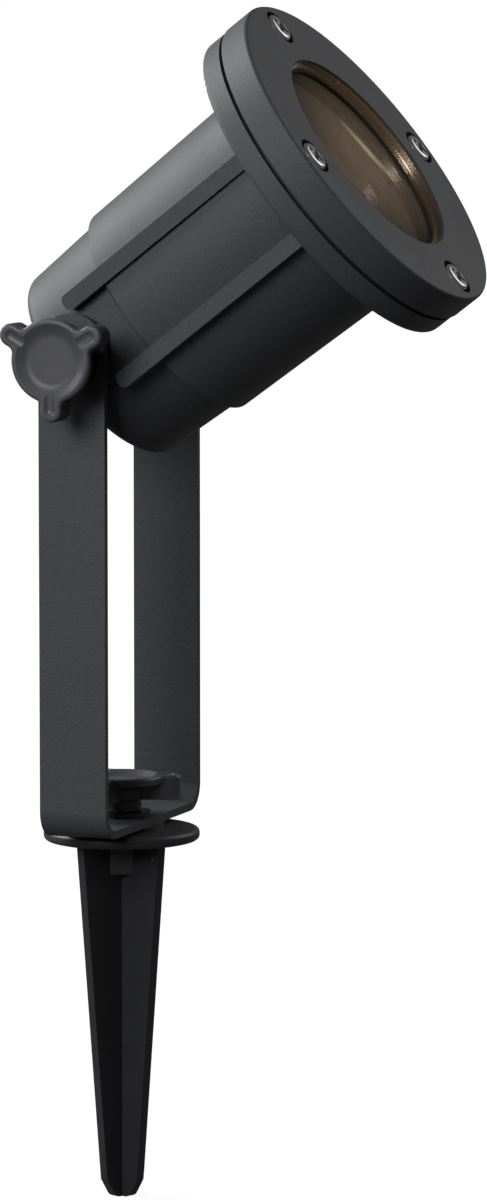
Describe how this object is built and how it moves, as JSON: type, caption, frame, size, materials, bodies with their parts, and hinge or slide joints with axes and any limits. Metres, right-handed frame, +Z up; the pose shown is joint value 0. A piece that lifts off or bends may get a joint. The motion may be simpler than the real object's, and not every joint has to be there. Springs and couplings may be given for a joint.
{
  "type": "garden spike spotlight",
  "caption": "Garden spotlight with a round ribbed die-cast head that tilts in a U-shaped bracket, clamped by lobed knobs, on a swivelling base with a cross-bladed ground spike.",
  "frame": {"origin": "centre of the spike flange's underside, which rests on the ground", "axes": "+Z up along the spike and the swivel axis; the stored head aims towards +X, 37.4 degrees above the horizon; Y is the tilt axis between the bracket's legs"},
  "size_m": [0.1147, 0.0922, 0.3019],
  "materials": {
    "cast_coating": "satin fine-textured dark grey powder coat over die-cast aluminium",
    "strap_coating": "satin fine-textured dark grey powder coat over steel strip",
    "spike_plastic": "satin black moulded plastic",
    "knob_plastic": "satin black moulded plastic",
    "spacer_plastic": "black turned plastic",
    "stainless": "bright stainless steel",
    "black_steel": "black zinc-plated steel",
    "brass": "turned brass",
    "plated_steel": "bright zinc plate",
    "plated_pins": "nickel plate",
    "seal_rubber": "matt black rubber",
    "clear_glass": "clear toughened glass",
    "capsule_glass": "clear quartz glass",
    "reflector_coating": "faceted mirror coating with a warm tone",
    "lamp_ceramic": "matt off-white ceramic",
    "gland_nylon": "satin black nylon",
    "terminal_nylon": "natural white nylon",
    "lead_sleeve": "white silicone insulation"
  },
  "bodies": {
    "spike": {"ground_spike": "spike_plastic", "spike_bolt": "stainless"},
    "bracket": {"u_bracket": "strap_coating"},
    "head": {"lamp_housing": "cast_coating", "front_bezel": "cast_coating", "bezel_screws": "stainless", "flange_seal": "seal_rubber", "glass_rear_ring": "seal_rubber", "front_glass": "clear_glass", "glass_front_ring": "seal_rubber", "lamp_reflector": "reflector_coating", "lamp_cover": "clear_glass", "lamp_capsule": "capsule_glass", "lamp_base": "lamp_ceramic", "lamp_pins": "plated_pins", "lamp_holder": "lamp_ceramic", "holder_screws": "plated_steel", "holder_plate": "plated_steel", "plate_screws": "plated_steel", "terminal_block": "terminal_nylon", "terminal_screws": "brass", "earth_screw": "plated_steel", "earth_tag": "plated_steel", "holder_leads": "lead_sleeve", "gland_body": "gland_nylon", "gland_seal": "seal_rubber", "gland_cap": "gland_nylon", "gland_nut": "gland_nylon", "near_friction_washer": "seal_rubber", "far_friction_washer": "seal_rubber"},
    "near_washers": {"near_washer": "black_steel", "near_spring_washer": "black_steel", "near_spacer": "spacer_plastic"},
    "near_knob": {"near_knob": "knob_plastic", "near_stud": "stainless"},
    "far_washers": {"far_washer": "black_steel", "far_spring_washer": "black_steel", "far_spacer": "spacer_plastic"},
    "far_knob": {"far_knob": "knob_plastic", "far_stud": "stainless"},
    "base_washer": {"base_washer": "black_steel"},
    "base_knob": {"base_knob": "knob_plastic", "base_knob_insert": "brass"}
  },
  "joints": [
    {"name": "bracket_swivel", "type": "hinge", "parent": "spike", "child": "bracket", "pos_m": [0, 0, 0], "axis": [0, 0, 1], "continuous": true},
    {"name": "head_tilt", "type": "hinge", "parent": "bracket", "child": "head", "pos_m": [0, 0, 0.1242], "axis": [0, -1, 0], "range_deg": [-87.4, 192.6]},
    {"name": "near_knob_back_off", "type": "slide", "parent": "head", "child": "near_washers", "axis": [0, -1, 0], "range_m": [0, 0.0032]},
    {"name": "near_knob_turn", "type": "hinge", "parent": "near_washers", "child": "near_knob", "pos_m": [0, 0, 0.1242], "axis": [0, -1, 0], "range_deg": [0, 1440]},
    {"name": "far_knob_back_off", "type": "slide", "parent": "head", "child": "far_washers", "axis": [0, 1, 0], "range_m": [0, 0.0032]},
    {"name": "far_knob_turn", "type": "hinge", "parent": "far_washers", "child": "far_knob", "pos_m": [0, 0, 0.1242], "axis": [0, 1, 0], "range_deg": [0, 1440]},
    {"name": "base_knob_back_off", "type": "slide", "parent": "spike", "child": "base_washer", "axis": [0, 0, 1], "range_m": [0, 0.0032]},
    {"name": "base_knob_turn", "type": "hinge", "parent": "base_washer", "child": "base_knob", "pos_m": [0, 0, 0], "axis": [0, 0, 1], "range_deg": [0, 1440]}
  ],
  "couplings": [
    {"joint": "near_knob_back_off", "follows": "near_knob_turn", "m_per_rad": 0.00012732},
    {"joint": "far_knob_back_off", "follows": "far_knob_turn", "m_per_rad": 0.00012732},
    {"joint": "base_knob_back_off", "follows": "base_knob_turn", "m_per_rad": 0.00012732}
  ]
}
